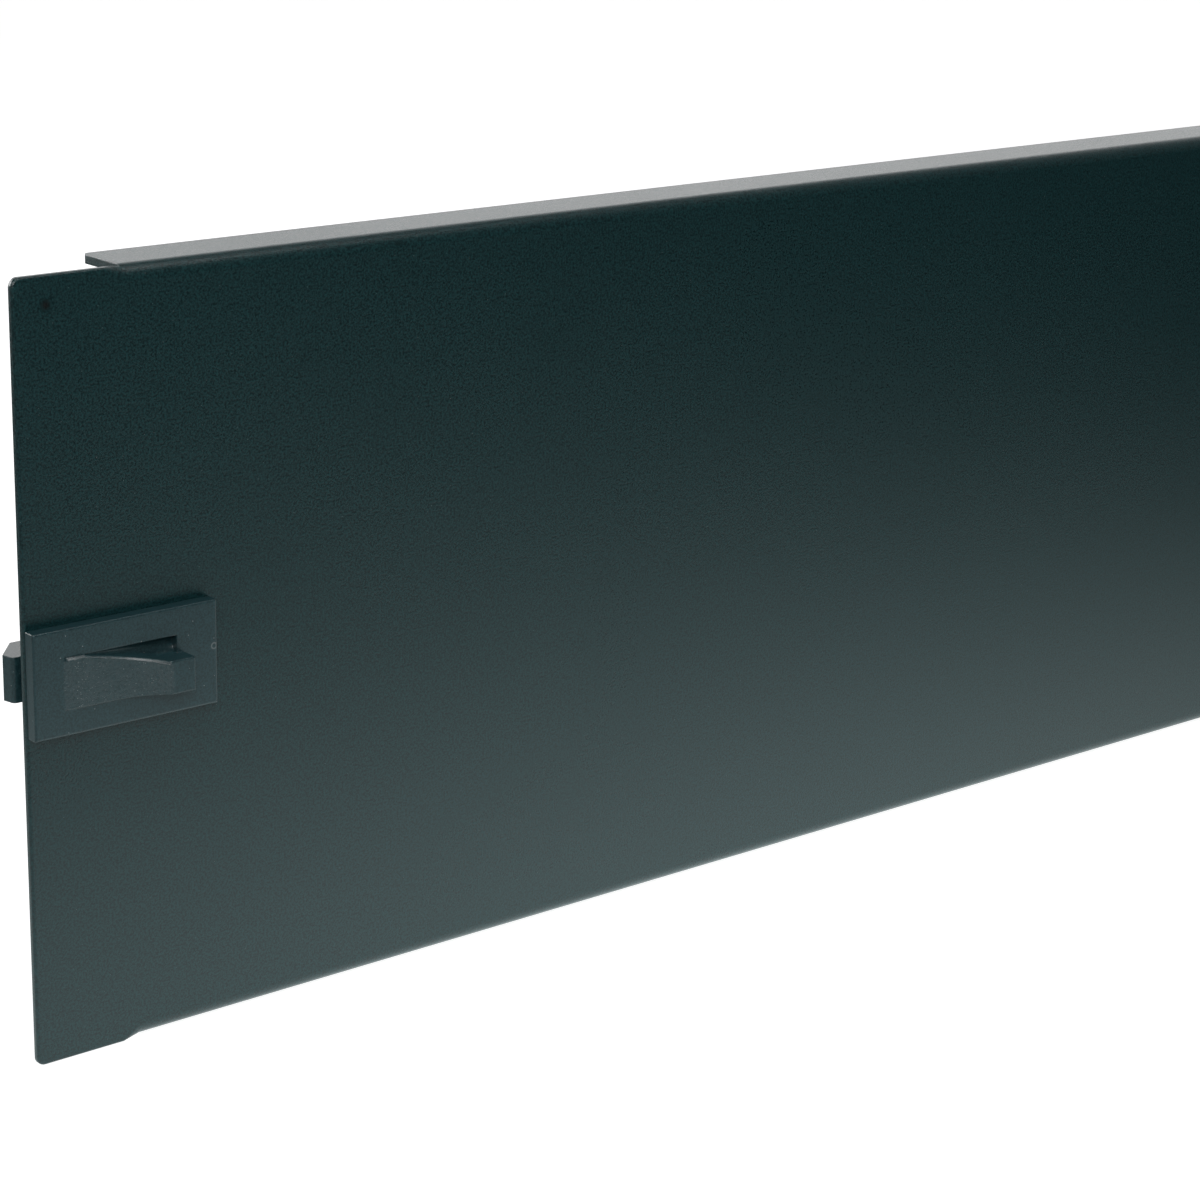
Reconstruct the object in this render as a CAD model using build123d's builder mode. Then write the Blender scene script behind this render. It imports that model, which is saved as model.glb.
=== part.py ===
"""A 3U rack blanking panel: one folded steel sheet, held to the rack's rails by a sprung plastic latch at each end.

Frame, in millimetres: X runs along the panel from mid-width, Y runs into the rack from the sheet's rear
face, which is the plane of the rack's rails, and Z runs up from mid-height. The front faces -Y.
The left latch is modelled, and the right latch is its mirror image.
"""

import os

from build123d import *

os.makedirs("parts", exist_ok=True)

# Folded sheet
panel_width = 482.6
panel_height = 132.5
sheet = 1.5
edge_round = 0.5
back_chamfer = 0.4
corner_radius = 1.5
ear_width = 20.2
flange_depth = 13.0
flange_corner = 1.5
bend_inside = 1.0
blend_length = 4.0

# Running and resting clearances
slide_gap = 0.1
stop_gap = 0.1
guide_gap = 0.2
fit_gap = 0.1

# Latch travel, towards the middle of the panel
travel = 5.5

# How far a cut runs past the material
overrun = 1.0

# Slider's front plate
plate_inset = 0.2
plate_length = 34.6
plate_height = 18.0
plate_rise = 0.35
plate_thickness = 2.4
plate_round = 0.3

# Finger grip on the plate: a ramp that rises to a flat top, under a scoop that takes the fingertip
grip_start = 5.6
grip_length = 22.7
grip_flat = 4.6
grip_depth = 3.4
grip_low = 4.45
grip_high = 13.2
ramp_shares = ((0.46, 0.11), (0.69, 0.24), (0.81, 0.43))
scoop_start = 3.9
scoop_radius = 1.53
scoop_first_share = 0.02
scoop_wall = 1.3
lip_round = 0.2

# Hook that passes through a square hole of the rail and grips behind it
neck_start = 4.2
neck_width = 3.8
hook_height = 7.7
hook_rise = 0.15
hook_gap = 2.4
hook_overhang = 4.6
hook_nose_width = 0.5
hook_nose_depth = 2.4
hook_nose_round = 0.8
hook_lead_width = 4.3
hook_lead_depth = 5.2

# Lug that carries the keeper, and the spigot that carries the spring
lug_start = 19.1
lug_width = 4.0
lug_height = 8.0
barb = 0.5
barb_depth = 1.6
prong_split = 2.2
spigot_radius = 1.2
spigot_length = 2.4

# Keeper plate behind the sheet
keeper_start = 16.8
keeper_length = 18.4
keeper_height = 15.0
keeper_thickness = 2.4
keeper_corner = 1.5
keeper_chamfer = 0.4

# Return spring and its tongue on the sheet
spring_space = 10.3
spring_radius = 2.0
spring_wire = 0.4
spring_turns = 5
wire_flat_count = 6
trough_gap = 0.3
tongue_width = 2.2
tongue_length = 2.0
window_corner = 0.4

# Places that follow from the sizes
half_height = panel_height / 2
flange_length = panel_width - 2 * ear_width
flange_back = flange_depth - sheet
bend_outside = bend_inside + sheet
panel_end = -panel_width / 2
plate_back = sheet + slide_gap
plate_front = plate_back + plate_thickness
plate_low = plate_rise - plate_height / 2
lug_end = lug_start + lug_width
guide_start = lug_start - stop_gap
guide_end = lug_end + spring_space
hook_window_start = neck_start - guide_gap
hook_window_end = neck_start + neck_width + travel + guide_gap
keeper_back = slide_gap + keeper_thickness
spring_y = -sheet / 2
trough_radius = spring_radius + trough_gap


def along(inward):
    """X of a place that lies this far in from the panel's left end."""
    return panel_end + inward


def window(start, end, height):
    """A rounded opening between two places in from the left end, in a sketch seen from the front."""
    with Locations((along((start + end) / 2), 0)):
        RectangleRounded(end - start, height, window_corner)


# Panel: a channel-shaped fold between two flat ears
with BuildPart() as panel:
    with BuildSketch(Plane.XZ):
        RectangleRounded(panel_width, panel_height, corner_radius)
    extrude(amount=sheet)
    fillet(panel.faces().sort_by(Axis.Y)[0].edges(), radius=edge_round)
    chamfer(panel.faces().sort_by(Axis.Y)[-1].edges(), length=back_chamfer)
    with BuildSketch(Plane.XZ):
        Rectangle(flange_length, panel_height)
    extrude(amount=sheet, mode=Mode.SUBTRACT)

    with BuildSketch(Plane.YZ.offset(-flange_length / 2)):
        with BuildLine():
            FilletPolyline(
                (flange_back, half_height),
                (-sheet, half_height),
                (-sheet, -half_height),
                (flange_back, -half_height),
                radius=bend_outside,
            )
            offset(amount=sheet, side=Side.LEFT)
        make_face()
    extrude(amount=flange_length)
    free_corners = panel.edges().filter_by(Axis.Z).group_by(Axis.Y)[-1]
    fillet(free_corners, radius=flange_corner)

    # Where a bend runs out into an ear, its outer radius shrinks to the sheet's own rounding
    for end in (-1, 1):
        for up in (-1, 1):
            for place, radius in (
                (ear_width - blend_length, edge_round / 2),
                (ear_width, bend_outside),
            ):
                corner = (-sheet, up * half_height)
                middle = (-sheet + radius, up * (half_height - radius))
                with BuildSketch(Plane.YZ.offset(end * (panel_width / 2 - place))):
                    with BuildLine():
                        RadiusArc((corner[0], middle[1]), (middle[0], corner[1]), up * radius)
                        Polyline(
                            (middle[0], corner[1]),
                            (middle[0], corner[1] + up * overrun),
                            (corner[0] - overrun, corner[1] + up * overrun),
                            (corner[0] - overrun, middle[1]),
                            (corner[0], middle[1]),
                        )
                    make_face()
            loft(ruled=True, mode=Mode.SUBTRACT)

    with BuildSketch(Plane.XZ):
        window(hook_window_start, hook_window_end, hook_height + 2 * guide_gap)
        window(guide_start, guide_end, lug_height + 2 * guide_gap)
        with Locations((along(guide_end - tongue_length / 2), 0)):
            Rectangle(tongue_length, tongue_width, mode=Mode.SUBTRACT)
        mirror(about=Plane.YZ)
    extrude(amount=sheet, mode=Mode.SUBTRACT)

panel.part.label = "panel"
export_step(panel.part, "parts/panel.step")

# Slider: plate, grip, hook and lug in one moulding
plate_centre = along(plate_inset + plate_length / 2)
grip_end = grip_start + grip_length
ramp_length = grip_length - grip_flat
rim = plate_low + grip_high
grip_bottom = plate_low + grip_low
grip_front = plate_front + grip_depth
flat_start = grip_start + ramp_length
scoop_end = grip_end - scoop_wall
scoop_floor = rim - 2 * scoop_radius
tip_start = neck_start - hook_overhang
neck_end = neck_start + neck_width

with BuildPart() as slider:
    with BuildSketch(Plane.XZ.offset(plate_back)):
        with Locations((plate_centre, plate_rise)):
            Rectangle(plate_length, plate_height)
    extrude(amount=plate_thickness)
    fillet(slider.faces().sort_by(Axis.Y)[0].edges(), radius=plate_round)

    # Grip, seen from above: a slow ramp, a steep rise and a flat top
    with BuildSketch(Plane.XY.offset(grip_bottom)):
        with BuildLine():
            ramp = [(along(grip_start), -plate_front)]
            for length_share, depth_share in ramp_shares:
                x = along(grip_start + length_share * ramp_length)
                ramp.append((x, -plate_front - depth_share * grip_depth))
            ramp.append((along(grip_start + ramp_length), -grip_front))
            Spline(*ramp)
            Polyline(
                ramp[-1],
                (along(grip_end), -grip_front),
                (along(grip_end), -plate_back - plate_thickness / 2),
                (along(grip_start), -plate_back - plate_thickness / 2),
                ramp[0],
            )
        make_face()
    extrude(amount=rim - grip_bottom)

    # Scoop: a round trough under the rim, open to the front, that widens along the ramp and ends in a wall
    for place, radius in (
        (grip_start + scoop_start, scoop_first_share * scoop_radius),
        (flat_start, scoop_radius),
    ):
        with BuildSketch(Plane.YZ.offset(along(place))) as section:
            with BuildLine():
                ThreePointArc(
                    (-plate_front, rim),
                    (-plate_front + radius, rim - radius),
                    (-plate_front, rim - 2 * radius),
                )
                Polyline(
                    (-plate_front, rim - 2 * radius),
                    (-grip_front - overrun, rim - 2 * radius),
                    (-grip_front - overrun, rim),
                    (-plate_front, rim),
                )
            make_face()
    loft(ruled=True, mode=Mode.SUBTRACT)
    extrude(section.sketch, amount=scoop_end - flat_start, mode=Mode.SUBTRACT)
    with BuildSketch(Plane.XZ.offset(plate_front)):
        with Locations((along((scoop_end + grip_end + overrun) / 2), rim - scoop_radius)):
            Rectangle(grip_end + overrun - scoop_end, 2 * scoop_radius)
    extrude(amount=grip_depth + overrun, mode=Mode.SUBTRACT)

    # Its lip is rounded over the ramp and over the flat top
    lip = slider.edges().filter_by_position(Axis.Z, scoop_floor, rim, inclusive=(True, False))
    lip = lip.filter_by_position(Axis.Y, -grip_front, -plate_front, inclusive=(True, False))
    fillet(lip.filter_by(lambda edge: edge.bounding_box().size.X > lip_round), radius=lip_round)

    # Hook, seen from above
    with BuildSketch(Plane.XY.offset(hook_rise - hook_height / 2)):
        with BuildLine():
            Polyline(
                (along(neck_start), -plate_back),
                (along(neck_start), hook_gap),
                (along(tip_start + hook_nose_width), hook_gap),
                (along(tip_start), hook_gap + hook_nose_depth),
                (along(tip_start + hook_lead_width), hook_gap + hook_nose_depth + hook_lead_depth),
                (along(neck_end), hook_gap + hook_nose_depth + hook_lead_depth),
                (along(neck_end), -plate_back),
                close=True,
            )
        make_face()
    extrude(amount=hook_height)
    nose = slider.edges(Select.LAST).filter_by(Axis.Z).sort_by(Axis.X)[1]
    fillet(nose, radius=hook_nose_round)

    # Lug with two barbed prongs, seen along the panel
    barb_front = keeper_back + fit_gap
    prong_end = barb_front + barb_depth
    with BuildSketch(Plane.YZ.offset(along(lug_start))):
        with BuildLine():
            Polyline(
                (-plate_back, -lug_height / 2),
                (barb_front, -lug_height / 2),
                (barb_front, -lug_height / 2 - barb),
                (prong_end, -lug_height / 2 + barb),
                (prong_end, lug_height / 2 - barb),
                (barb_front, lug_height / 2 + barb),
                (barb_front, lug_height / 2),
                (-plate_back, lug_height / 2),
                close=True,
            )
        make_face()
        split_start = slide_gap + spigot_radius
        with Locations(((split_start + prong_end) / 2, 0)):
            Rectangle(prong_end - split_start, prong_split, mode=Mode.SUBTRACT)
    extrude(amount=lug_width)

    # Trough for the spring in the plate's back, and the spring's spigot
    with BuildSketch(Plane.YZ.offset(along(lug_end))):
        with Locations((spring_y, 0)):
            Circle(trough_radius)
    extrude(amount=spring_space + stop_gap, mode=Mode.SUBTRACT)
    with BuildSketch(Plane.YZ.offset(along(lug_end))):
        with Locations((spring_y, 0)):
            Circle(spigot_radius)
    extrude(amount=spigot_length)

# Keeper: the plate behind the sheet that the barbs hold
with BuildPart() as keeper:
    with BuildSketch(Plane.XZ.offset(-slide_gap)):
        with Locations((along(keeper_start + keeper_length / 2), 0)):
            RectangleRounded(keeper_length, keeper_height, keeper_corner)
    extrude(amount=-keeper_thickness)
    chamfer(keeper.faces().sort_by(Axis.Y)[-1].edges(), length=keeper_chamfer)
    with BuildSketch(Plane.XZ.offset(-slide_gap)):
        with Locations((along((lug_start + lug_end) / 2), 0)):
            Rectangle(lug_width + 2 * fit_gap, lug_height + 2 * fit_gap)
    extrude(amount=-keeper_thickness, mode=Mode.SUBTRACT)
    with BuildSketch(Plane.YZ.offset(along(lug_end))):
        with Locations((spring_y, 0)):
            Circle(trough_radius)
    extrude(amount=spring_space + stop_gap, mode=Mode.SUBTRACT)

# Spring: a coil between the lug and the inner end of its window, round the spigot and the tongue
coil_start = lug_end + stop_gap + spring_wire / 2
coil_length = spring_space - 2 * stop_gap - spring_wire
coil_radius = spring_radius - spring_wire / 2

with BuildPart() as spring:
    with BuildLine():
        coil = Helix(
            pitch=coil_length / spring_turns,
            height=coil_length,
            radius=coil_radius,
            center=(along(coil_start), spring_y, 0),
            direction=(1, 0, 0),
        )
    with BuildSketch(Plane(origin=coil @ 0, z_dir=coil % 0)):
        RegularPolygon(spring_wire / 2, wire_flat_count)
    sweep(path=coil, is_frenet=True)

for name, piece in (("slider", slider), ("keeper", keeper), ("spring", spring)):
    left = piece.part
    left.label = f"left_{name}"
    export_step(left, f"parts/left_{name}.step")
    right = mirror(left, about=Plane.YZ)
    right.label = f"right_{name}"
    export_step(right, f"parts/right_{name}.step")
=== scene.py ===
"""Looks of a 3U rack blanking panel: satin powder coat on a folded sheet, and a moulded latch at each end.

Lengths are in metres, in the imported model's own frame: X along the panel, Y into the rack, Z up.
"""

from math import cos, e, pi, radians, sin

import bpy
import numpy as np
from mathutils import Matrix, Vector


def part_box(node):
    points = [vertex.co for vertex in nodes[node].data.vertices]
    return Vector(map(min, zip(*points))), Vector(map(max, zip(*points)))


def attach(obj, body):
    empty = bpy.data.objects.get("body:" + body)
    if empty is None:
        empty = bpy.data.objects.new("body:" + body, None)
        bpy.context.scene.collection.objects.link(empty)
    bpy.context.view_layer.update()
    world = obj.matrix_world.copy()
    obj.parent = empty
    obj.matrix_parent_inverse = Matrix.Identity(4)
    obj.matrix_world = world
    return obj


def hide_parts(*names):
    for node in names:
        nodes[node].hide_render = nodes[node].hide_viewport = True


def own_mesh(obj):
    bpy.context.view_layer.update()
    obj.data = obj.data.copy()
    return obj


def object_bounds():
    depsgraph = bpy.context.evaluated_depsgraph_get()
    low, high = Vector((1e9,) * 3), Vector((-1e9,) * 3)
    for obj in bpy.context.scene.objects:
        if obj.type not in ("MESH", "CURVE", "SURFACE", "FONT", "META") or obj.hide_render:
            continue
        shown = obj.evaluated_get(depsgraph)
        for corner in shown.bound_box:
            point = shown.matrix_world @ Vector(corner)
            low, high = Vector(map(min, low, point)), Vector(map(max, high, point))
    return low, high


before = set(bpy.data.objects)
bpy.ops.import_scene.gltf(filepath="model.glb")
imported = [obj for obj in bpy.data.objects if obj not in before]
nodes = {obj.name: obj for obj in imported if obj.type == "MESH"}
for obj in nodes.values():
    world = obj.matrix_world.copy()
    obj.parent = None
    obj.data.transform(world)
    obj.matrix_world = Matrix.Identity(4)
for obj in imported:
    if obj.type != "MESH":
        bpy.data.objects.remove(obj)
cad_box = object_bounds()
panel_low, panel_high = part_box("panel")
slider_low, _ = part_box("right_slider")

MM = 0.001

# Camera, as it stood for the photograph: a compass turn from +Y, a tilt down, a slight roll and a long lens.
# Sensor and lens are in millimetres, as Blender has them
CAMERA_PLACE = Vector((-476.6, -421.1, 157.0)) * MM
CAMERA_TURN = radians(40.26)
CAMERA_TILT = radians(16.55)
CAMERA_ROLL = radians(-1.17)
NEAREST = 10 * MM
SENSOR_WIDTH = 36.0
FOCAL_PIXELS = 3111
IMAGE_PIXELS = 1200
LENS = FOCAL_PIXELS / IMAGE_PIXELS * SENSOR_WIDTH

# Colours, as linear light
COAT_DARK = (0.0004, 0.0080, 0.0092, 1)
COAT_LIGHT = (0.0055, 0.0345, 0.0375, 1)
PLASTIC_DARK = (0.0060, 0.0200, 0.0240, 1)
PLASTIC_LIGHT = (0.0150, 0.0440, 0.0500, 1)
RAMP_LIGHT = (0.0300, 0.0520, 0.0570, 1)
SPARK = (0.40, 0.42, 0.42, 1)
WIRE = (0.560, 0.550, 0.530, 1)
WIRE_MARK = (0.448, 0.440, 0.424, 1)
DUST = (0.32, 0.33, 0.33, 1)
WHITE = (1, 1, 1, 1)
BLACK = (0, 0, 0, 1)

# Strengths at which colours lie over the finish below
CLOUD_TINT = 0.12
DUST_TINT = 0.5
# Painted shade: how far the dent's colour goes towards black
DENT_SHADE_TINT = 0.85
RAMP_TINT = 0.8
SPARK_TINT = 0.28
NICK_TINT = 0.3

# Roughness of each smooth finish, and what the rest adds to it
COAT_ROUGH = 0.25
PLASTIC_ROUGH = 0.28
WIRE_ROUGH = 0.24
CLOUD_ROUGH = 0.06
GRAIN_ROUGH = 0.08
DUST_ROUGH = 0.2
RAMP_ROUGH = 0.12
MARK_ROUGH = 0.14

# Relief: its depth in each finish, and the shares of that depth that a layer takes
COAT_RELIEF = 0.020 * MM
PLASTIC_RELIEF = 0.030 * MM
WIRE_RELIEF = 0.004 * MM
PEEL_SHARE = 0.3
FINE_SHARE = 0.15
RAMP_SHARE = 1.6

# Radius to which the shading rounds sharp edges, and the rays that find them
COAT_EDGE = 0.35 * MM
PLASTIC_EDGE = 0.30 * MM
EDGE_RAYS = 6

# A PROUD pair says where a mark fades in: from none at the first distance in front of a face, in Y, to full
# at the second. A distance below zero is behind that face. So the rear of a piece has no such mark

# Dent in the left ear, darkened by painted shade in its colour: how far it is from the ear's outer edge and
# top, its radius, that of its flat middle, and how far it turns the normal up
DENT_IN = 5.9 * MM
DENT_DOWN = 4.75 * MM
DENT_RADIUS = 1.4 * MM
DENT_CORE = 0.3 * MM
DENT_SLOPE = 0.45
DENT_PROUD = (-0.5 * MM, -0.1 * MM)

# What follows is placed on each latch's plate, outwards from its inner edge and up from its lower edge. The
# grip stands GRIP_DEPTH in front of the plate's face
GRIP_DEPTH = 3.4 * MM

# Ring that the mould left at the plate's inner edge: its place, and the fades of its outside and its inside
NICK = (0.6 * MM, 10.05 * MM)
NICK_OUTSIDE = (0.7 * MM, 0.5 * MM)
NICK_INSIDE = (0.45 * MM, 0.3 * MM)
NICK_PROUD = (-1.0 * MM, -0.4 * MM)

# Grip's ramp: its raised end, its foot, its lower edge, and how far its grain fades out round them
RAMP_RAISED = 10.9 * MM
RAMP_FOOT = 28.9 * MM
RAMP_LOW = 4.65 * MM
RAMP_FADE = 0.5 * MM
RAMP_PROUD = (-RAMP_FADE, 0.0)

# Bevel on the ramp's upper edge: its end near the ramp's foot, its raised end, its width, how softly it
# begins, and how far it turns the normal up
LIP_START = (25.3 * MM, 13.2 * MM)
LIP_END = (11.1 * MM, 10.14 * MM)
LIP_WIDTH = 0.55 * MM
LIP_SOFT = 0.1 * MM
LIP_SLOPE = 1.1
LIP_PROUD = (0.02 * MM, 0.14 * MM)

# Round-wire spring. EASE is how far its end turns close up
WIRE_RADIUS = 0.2 * MM
WIRE_SIDES = 12
SPRING_TURNS = 6
RINGS_PER_TURN = 49
SPRING_EASE = 0.9

# Room: radiance of its front wall, its back wall and its ceiling in mirror rays, and of the fill in others.
# The front wall turns into the back one between two values of Y in a ray's direction, and the ceiling into
# the walls between two values of Z
ROOM_FRONT = 0.1
ROOM_BACK = 1.5
CEILING = 0.03
FILL = 0.15
FRONT_TO_BACK = (-0.3, 0.3)
CEILING_TO_WALL = (0.62, 0.40)

# Floor: its side, its gap below the object and its paper. Then a pool of light on it, with its middle in X
# and its reach in Y. Its reach in X is longer, by 1 / POOL_SQUEEZE
FLOOR_SIDE = 14.0
FLOOR_GAP = 0.2 * MM
PAPER = (0.3, 0.3, 0.3, 1)
PAPER_GLOW = 0.92
POOL = 1.4
POOL_TINT = (0.90, 1, 1, 1)
POOL_X = -0.1
POOL_REACH = 0.19
POOL_SQUEEZE = 0.6

# Lamps: place, side of the square, and irradiance at the left latch, which they all face
LATCH = Vector((-0.24, 0, 0))
LAMPS = {
    "overhead": ((-0.03, -0.32, 1.135), 0.5, 1.3),
    "front": ((-0.60, -0.56, 0.44), 0.3, 1.7),
    "back": ((-0.50, 0.90, 0.30), 0.5, 2.5),
}


class Value:
    """A number that a shader works out. Sums and products of it add Math nodes."""

    def __init__(self, socket):
        self.socket = socket
        self.tree = socket.id_data

    def _math(self, operation, a, b=0.0, clamp=False):
        node = self.tree.nodes.new("ShaderNodeMath")
        node.operation = operation
        node.use_clamp = clamp
        for slot, term in zip(node.inputs, (a, b), strict=False):
            if isinstance(term, Value):
                self.tree.links.new(term.socket, slot)
            else:
                slot.default_value = term
        return Value(node.outputs[0])

    def __add__(self, other):
        return self._math("ADD", self, other)

    __radd__ = __add__

    def __sub__(self, other):
        return self._math("SUBTRACT", self, other)

    def __rsub__(self, other):
        return self._math("SUBTRACT", other, self)

    def __mul__(self, other):
        return self._math("MULTIPLY", self, other)

    __rmul__ = __mul__

    def __pow__(self, other):
        return self._math("POWER", self, other)

    def __rpow__(self, other):
        return self._math("POWER", other, self)

    def above(self, edge):
        """1 where the value is over the edge, else 0."""
        return self._math("GREATER_THAN", self, edge)

    def step(self, low, high, start=0.0):
        """0 below low, 1 above high and a straight climb between, both counted from start. Where low is over
        high, 0 above low and 1 below high."""
        return ((self - start - low) * (1 / (high - low))).clamped()

    def size(self):
        """The value without its sign."""
        return self._math("ABSOLUTE", self)

    def clamped(self):
        """The value held between 0 and 1."""
        return self._math("ADD", self, 0.0, clamp=True)


class Finish:
    """The nodes of a material, or of the world, being wired. One method adds every node that isn't sums."""

    def __init__(self, owner):
        owner.use_nodes = True
        self.owner = owner
        self.tree = owner.node_tree
        self.tree.nodes.clear()

    def node(self, kind, settings=None, *values, **named):
        """A node of a kind. Its settings come first, then the values or links of its sockets: in order, or
        by their names with _ for a space."""
        made = self.tree.nodes.new("ShaderNode" + kind)
        for key, value in (settings or {}).items():
            setattr(made, key, value)
        slots = [s for s in made.inputs if s.enabled]
        given = list(zip(slots, values, strict=False))
        for key, value in named.items():
            given.append((next(s for s in slots if s.name == key.replace("_", " ")), value))
        for slot, value in given:
            if isinstance(value, Value):
                value = value.socket
            if isinstance(value, bpy.types.NodeSocket):
                self.tree.links.new(value, slot)
            else:
                slot.default_value = value
        return made

    def place(self):
        """The point on the object, in metres."""
        return self.node("TexCoord").outputs["Object"]

    def axes(self, vector):
        """X, Y and Z of a place or a direction."""
        parts = self.node("SeparateXYZ", Vector=vector)
        return [Value(parts.outputs[axis]) for axis in "XYZ"]

    def rays(self):
        """Whether a ray comes from the camera, straight or through glass, and whether from a shiny face."""
        path = self.node("LightPath").outputs
        seen = (Value(path["Is Camera Ray"]) + Value(path["Is Transmission Ray"])).clamped()
        return seen, Value(path["Is Glossy Ray"])

    def noise(self, place, per_metre, detail=2.0, roughness=0.5):
        """Soft random patches, of which so many lie along a metre."""
        made = self.node("TexNoise", Vector=place, Scale=per_metre, Detail=detail, Roughness=roughness)
        return Value(made.outputs[0])

    def blend(self, share, a, b):
        """Colour a where share is 0 and b where it is 1."""
        mix = self.node("Mix", {"data_type": "RGBA"}, share, a, b)
        return next(s for s in mix.outputs if s.enabled)

    def dots(self, place, per_metre, share, radius):
        """Sparse round specks: 1 inside those that are kept, a share of all the cells. The largest has the
        radius, as a share of a cell's width."""
        cells = self.node("TexVoronoi", Vector=place, Scale=per_metre)
        pick = self.node("SeparateColor", Color=cells.outputs["Color"])
        kept = Value(pick.outputs[0]).above(1 - share)
        size = Value(pick.outputs[1]) * radius
        inside = (size - Value(cells.outputs["Distance"])).above(0.0)
        return kept * inside

    def spot(self, across, along, radius, core):
        """A round spot about the point where both distances are zero: 1 in its core, 0 beyond its radius."""
        return ((across * across + along * along) ** 0.5).step(radius, core)

    def edges(self, radius):
        """A normal that rounds sharp edges."""
        return self.node("Bevel", {"samples": EDGE_RAYS}, Radius=radius).outputs[0]

    def lifted(self, normal, rise):
        """A normal turned upwards: the rise is added to its Z, and the sum gets its length back."""
        up = self.node("CombineXYZ", Z=rise).outputs[0]
        total = self.node("VectorMath", {"operation": "ADD"}, normal, up).outputs[0]
        return self.node("VectorMath", {"operation": "NORMALIZE"}, total).outputs[0]

    def bump(self, height, depth, normal=None):
        """A relief of a depth in metres, from a height of about 0 to 1, laid over a normal."""
        under = {} if normal is None else {"Normal": normal}
        return self.node("Bump", Strength=1.0, Distance=depth, Height=height, **under).outputs[0]

    def done(self, shader, output="OutputMaterial"):
        """The material or world, once its shader is on its output."""
        self.node(output, Surface=shader.outputs[0])
        return self.owner


def finish(name):
    """The finish of a new material."""
    return Finish(bpy.data.materials.new(name))


def powder_coat():
    """Satin blue-black powder coat: grain over an orange peel, faint clouds, a little dust, and one dent
    whose dark look is painted shade.
    """
    made = finish("powder_coat")
    place = made.place()
    x, y, z = made.axes(place)
    cloud = made.noise(place, per_metre=9, detail=3).step(0.35, 0.7)
    peel = made.noise(place, per_metre=900, roughness=0.6)
    grain = made.noise(place, per_metre=2600, detail=3, roughness=0.75).step(0.40, 0.60)
    dust = made.dots(place, per_metre=1000, share=0.3, radius=0.09)
    inwards, down = x - (panel_low.x + DENT_IN), (panel_high.z - DENT_DOWN) - z
    proud = panel_low.y - y
    dent_and_shade = made.spot(inwards, down, DENT_RADIUS, DENT_CORE) * proud.step(*DENT_PROUD)

    colour = made.blend(grain, COAT_DARK, COAT_LIGHT)
    colour = made.blend(cloud * CLOUD_TINT, colour, COAT_LIGHT)
    colour = made.blend(dust * DUST_TINT, colour, DUST)
    # Painted shade: the dent is darkened towards black in the coat's colour
    colour = made.blend(dent_and_shade * DENT_SHADE_TINT, colour, BLACK)
    patches = made.noise(place, per_metre=14)
    rough = COAT_ROUGH + CLOUD_ROUGH * patches + GRAIN_ROUGH * grain + DUST_ROUGH * dust
    height = peel * PEEL_SHARE + grain * (1 - PEEL_SHARE)
    relief = made.bump(height, COAT_RELIEF, made.lifted(made.edges(COAT_EDGE), dent_and_shade * DENT_SLOPE))
    shader = made.node("BsdfPrincipled", Base_Color=colour, Roughness=rough, IOR=1.5, Normal=relief)
    return made.done(shader)


def moulded():
    """Satin black plastic. The grip's ramp is spark-eroded to a fine grain. Its upper edge, which falls in a
    straight line from the rim to the scoop's floor, has a wide bevel."""
    made = finish("moulded_plastic")
    place = made.place()
    x, y, z = made.axes(place)
    outward, up = x.size() - slider_low.x, z - slider_low.z
    proud = (slider_low.y + GRIP_DEPTH) - y

    (start_out, start_up), (end_out, end_up) = LIP_START, LIP_END
    foot = start_up + (end_up - start_up) * outward.step(start_out, end_out) - LIP_WIDTH
    lip = up.step(-LIP_SOFT, LIP_SOFT, foot) * outward.above(end_out) * proud.step(*LIP_PROUD)
    ramp = outward.step(RAMP_FOOT + RAMP_FADE, RAMP_FOOT) * proud.step(*RAMP_PROUD)
    ramp = ramp * outward.step(RAMP_RAISED - RAMP_FADE, RAMP_RAISED)
    ramp = ramp * up.step(RAMP_LOW - RAMP_FADE, RAMP_LOW) * up.step(LIP_SOFT, -LIP_SOFT, foot)

    fine = made.noise(place, per_metre=2800, detail=3, roughness=0.75).step(0.40, 0.60)
    coarse = made.noise(place, per_metre=2200, detail=3, roughness=0.8).step(0.40, 0.62)
    spark = made.dots(place, per_metre=3300, share=0.25, radius=0.32) * ramp
    dust = made.dots(place, per_metre=1000, share=0.3, radius=0.10)
    nick_out, nick_up = NICK
    across, along = outward - nick_out, up - nick_up
    nick = made.spot(across, along, *NICK_OUTSIDE) - made.spot(across, along, *NICK_INSIDE)
    nick = nick * proud.step(*NICK_PROUD)

    colour = made.blend(fine, PLASTIC_DARK, PLASTIC_LIGHT)
    colour = made.blend(ramp * coarse * RAMP_TINT, colour, RAMP_LIGHT)
    colour = made.blend(spark * SPARK_TINT, colour, SPARK)
    colour = made.blend(dust * DUST_TINT + nick * NICK_TINT, colour, DUST)
    rough = PLASTIC_ROUGH + GRAIN_ROUGH * fine + RAMP_ROUGH * ramp
    height = fine * FINE_SHARE + coarse * ramp * RAMP_SHARE
    relief = made.bump(height, PLASTIC_RELIEF, made.lifted(made.edges(PLASTIC_EDGE), lip * LIP_SLOPE))
    shader = made.node("BsdfPrincipled", Base_Color=colour, Roughness=rough, IOR=1.55, Normal=relief)
    return made.done(shader)


def spring_wire():
    """Bright drawn wire with faint marks along it."""
    made = finish("spring_wire")
    marks = made.noise(made.place(), per_metre=2600, detail=3, roughness=0.6)
    colour = made.blend(marks.step(0.35, 0.75), WIRE, WIRE_MARK)
    rough = WIRE_ROUGH + MARK_ROUGH * marks
    relief = made.bump(marks, WIRE_RELIEF)
    shader = made.node("BsdfPrincipled", Base_Color=colour, Metallic=1.0, Roughness=rough, Normal=relief)
    return made.done(shader)


def piece(name, points, faces):
    """An object at the origin, with its place in its mesh."""
    mesh = bpy.data.meshes.new(name)
    mesh.from_pydata(points, [], faces)
    made = bpy.data.objects.new(name, mesh)
    bpy.context.scene.collection.objects.link(made)
    return made


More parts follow.
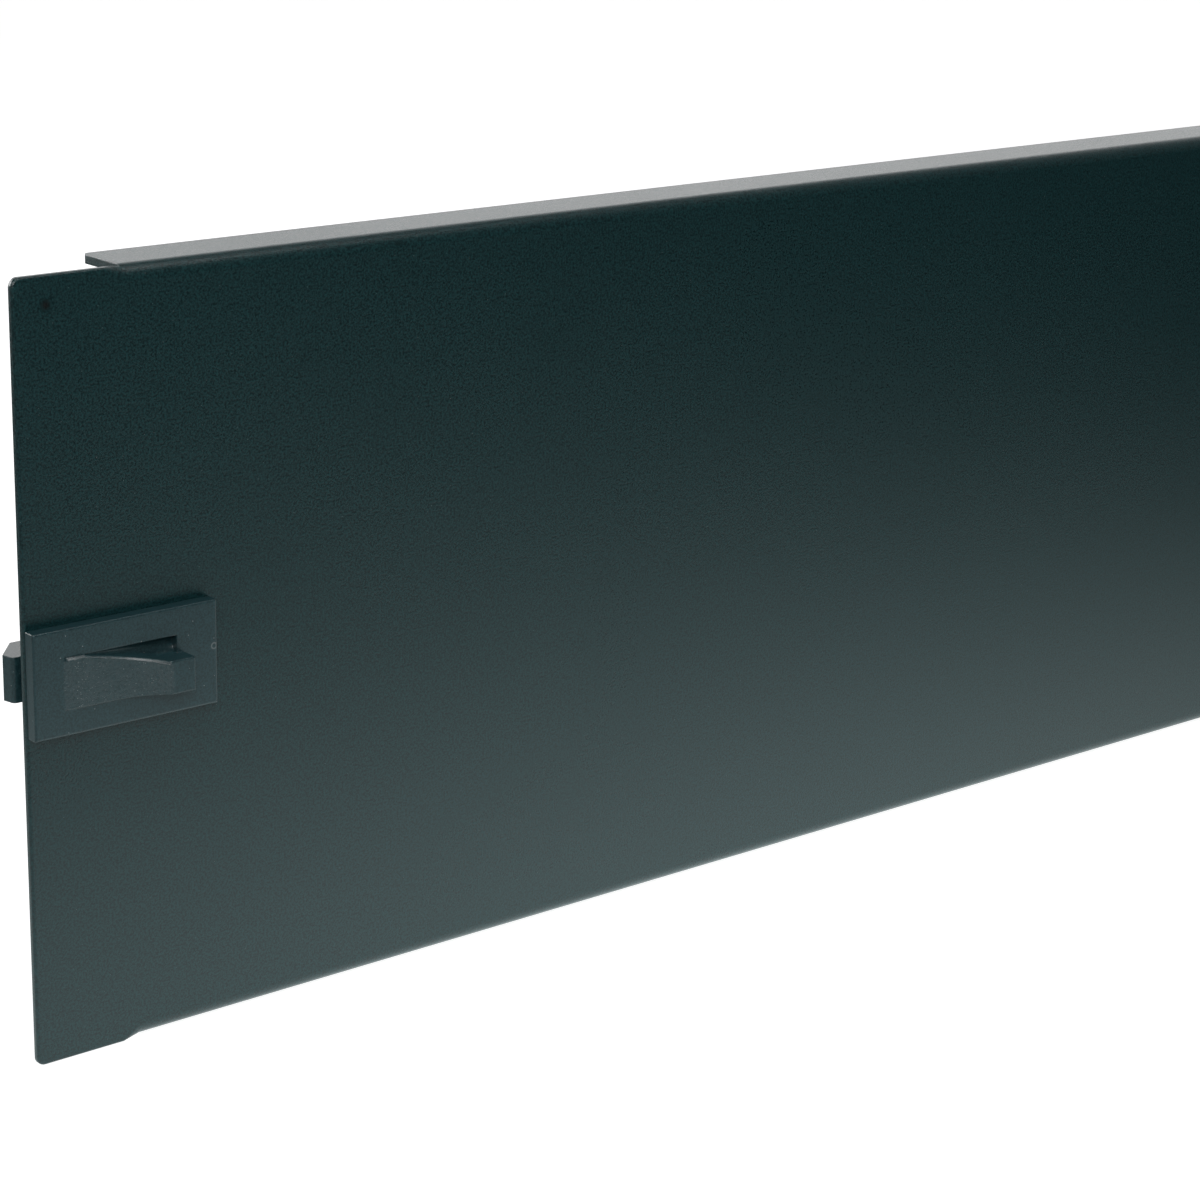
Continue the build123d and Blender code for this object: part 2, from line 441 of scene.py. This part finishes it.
def paint(made, material):
    """Gives a piece one material all over."""
    made.data.materials.clear()
    made.data.materials.append(material)


def tube(name, rings):
    """A closed mesh over an array of rings of points, with a flat cap at each end. The faces turn outward
    where each ring runs anticlockwise as seen from the end that the rings go to."""
    count, around, _ = rings.shape
    ring, step = np.meshgrid(np.arange(count - 1), np.arange(around), indexing="ij")
    here, beside = ring * around + step, ring * around + (step + 1) % around
    sides = np.stack([here, beside, beside + around, here + around], -1).reshape(-1, 4)
    last = (count - 1) * around
    caps = [list(range(around))[::-1], list(range(last, last + around))]
    made = piece(name, rings.reshape(-1, 3).tolist(), sides.tolist() + caps)
    made.data.polygons.foreach_set("use_smooth", [True] * len(sides) + [False] * len(caps))
    return made


def coil(name, start, end, centre, radius):
    """A round wire wound round the X axis from start to end. With t from 0 to 1, the angle is t times the
    turns, and the share of the length is t less a part of sin(2 pi t) / 2 pi, which brings the end turns
    close together. Each ring is a circle in the plane of the outward line and of its cross product with the
    wire's tangent."""
    t = np.linspace(0, 1, RINGS_PER_TURN * SPRING_TURNS)
    hand = np.sign(end - start)
    angle = 2 * pi * SPRING_TURNS * t
    share = t - SPRING_EASE * np.sin(2 * pi * t) / (2 * pi)
    x = start + hand * (WIRE_RADIUS + (abs(end - start) - 2 * WIRE_RADIUS) * share)
    outward = np.stack([0 * t, np.cos(angle), hand * np.sin(angle)], -1)
    line = np.stack([x, 0 * t + centre.y, 0 * t + centre.z], -1) + radius * outward
    tangent = np.gradient(line, axis=0)
    tangent /= np.linalg.norm(tangent, axis=1, keepdims=True)
    across = np.cross(tangent, outward)
    turn = np.linspace(0, 2 * pi, WIRE_SIDES, endpoint=False)[None, :, None]
    circles = np.cos(turn) * outward[:, None] + np.sin(turn) * across[:, None]
    return tube(name, line[:, None] + WIRE_RADIUS * circles)


def dress_springs(material):
    """A round-wire spring stands for each CAD spring, wound from its end at the latch to its fixed end."""
    for side, outward in (("left", -1), ("right", 1)):
        low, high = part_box(f"{side}_spring")
        middle = (low + high) / 2
        moving, fixed = (low.x, high.x) if outward < 0 else (high.x, low.x)
        spring = coil(f"{side}_coil", moving, fixed, middle, (high.z - low.z) / 2 - WIRE_RADIUS)
        paint(spring, material)
        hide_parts(f"{side}_spring")
        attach(spring, "panel")
        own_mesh(spring)


def studio_floor():
    """White floor, with the object's shadow for the camera. Other rays see a pool of light round the object
    that fades away from it."""
    low, _ = cad_box
    half, height = FLOOR_SIDE / 2, low.z - FLOOR_GAP
    corners = [(x * half, y * half, height) for x, y in ((-1, -1), (1, -1), (1, 1), (-1, 1))]
    floor = piece("floor", corners, [(0, 1, 2, 3)])

    made = finish("floor_white")
    seen, _ = made.rays()
    x, y, _ = made.axes(made.place())
    aside = (x - POOL_X) * POOL_SQUEEZE
    pool = e ** ((aside * aside + y * y) * (-1 / POOL_REACH**2))
    glow = made.node("Emission", Color=made.blend(pool, BLACK, POOL_TINT), Strength=POOL)
    paper = made.node(
        "BsdfPrincipled", Base_Color=PAPER, Roughness=0.9, Emission_Color=WHITE, Emission_Strength=PAPER_GLOW
    )
    paint(floor, made.done(made.node("MixShader", None, seen, glow.outputs[0], paper.outputs[0])))


def studio_world():
    """White all round for the camera. Mirror rays see a bright wall behind the object, a dim one before it
    and a dark ceiling. All other rays see a soft grey fill."""
    world = bpy.data.worlds.new("studio")
    bpy.context.scene.world = world
    made = Finish(world)
    seen, mirror = made.rays()
    _, back, up = made.axes(made.node("TexCoord").outputs["Generated"])
    wall = ROOM_FRONT + (ROOM_BACK - ROOM_FRONT) * back.step(*FRONT_TO_BACK)
    room = CEILING + (wall - CEILING) * up.step(*CEILING_TO_WALL)
    light = seen + mirror * room + (1 - (seen + mirror).clamped()) * FILL
    made.done(made.node("Background", Color=WHITE, Strength=light), "OutputWorld")


def lamp(name, place, side, irradiance):
    """A square lamp that faces the left latch. Its power gives the irradiance there: pi times it, times the
    distance squared."""
    light = bpy.data.lights.new(name, "AREA")
    light.size = side
    way = LATCH - Vector(place)
    light.energy = irradiance * pi * way.length_squared
    made = bpy.data.objects.new(name, light)
    bpy.context.scene.collection.objects.link(made)
    made.location = place
    made.rotation_euler = way.to_track_quat("-Z", "Y").to_euler()


def camera():
    """The camera looks along its turn and tilt. Roll turns it about its own line of sight."""
    level = cos(CAMERA_TILT)
    ahead = Vector((sin(CAMERA_TURN) * level, cos(CAMERA_TURN) * level, -sin(CAMERA_TILT)))
    right = ahead.cross(Vector((0, 0, 1))).normalized()
    down = ahead.cross(right)
    right, down = (
        right * cos(CAMERA_ROLL) + down * sin(CAMERA_ROLL),
        down * cos(CAMERA_ROLL) - right * sin(CAMERA_ROLL),
    )
    lens = bpy.data.cameras.new("camera")
    lens.sensor_width = SENSOR_WIDTH
    lens.lens = LENS
    lens.clip_start = NEAREST
    made = bpy.data.objects.new("camera", lens)
    turn = Matrix((right, -down, -ahead)).transposed()
    made.matrix_world = Matrix.Translation(CAMERA_PLACE) @ turn.to_4x4()
    bpy.context.scene.collection.objects.link(made)
    bpy.context.scene.camera = made


plastic = moulded()
paint(nodes["panel"], powder_coat())
for side in ("left", "right"):
    for part in ("slider", "keeper"):
        paint(nodes[f"{side}_{part}"], plastic)
dress_springs(spring_wire())

studio_floor()
studio_world()
camera()
for name, stand in LAMPS.items():
    lamp(name, *stand)

scene = bpy.context.scene
scene.view_settings.view_transform = "Standard"
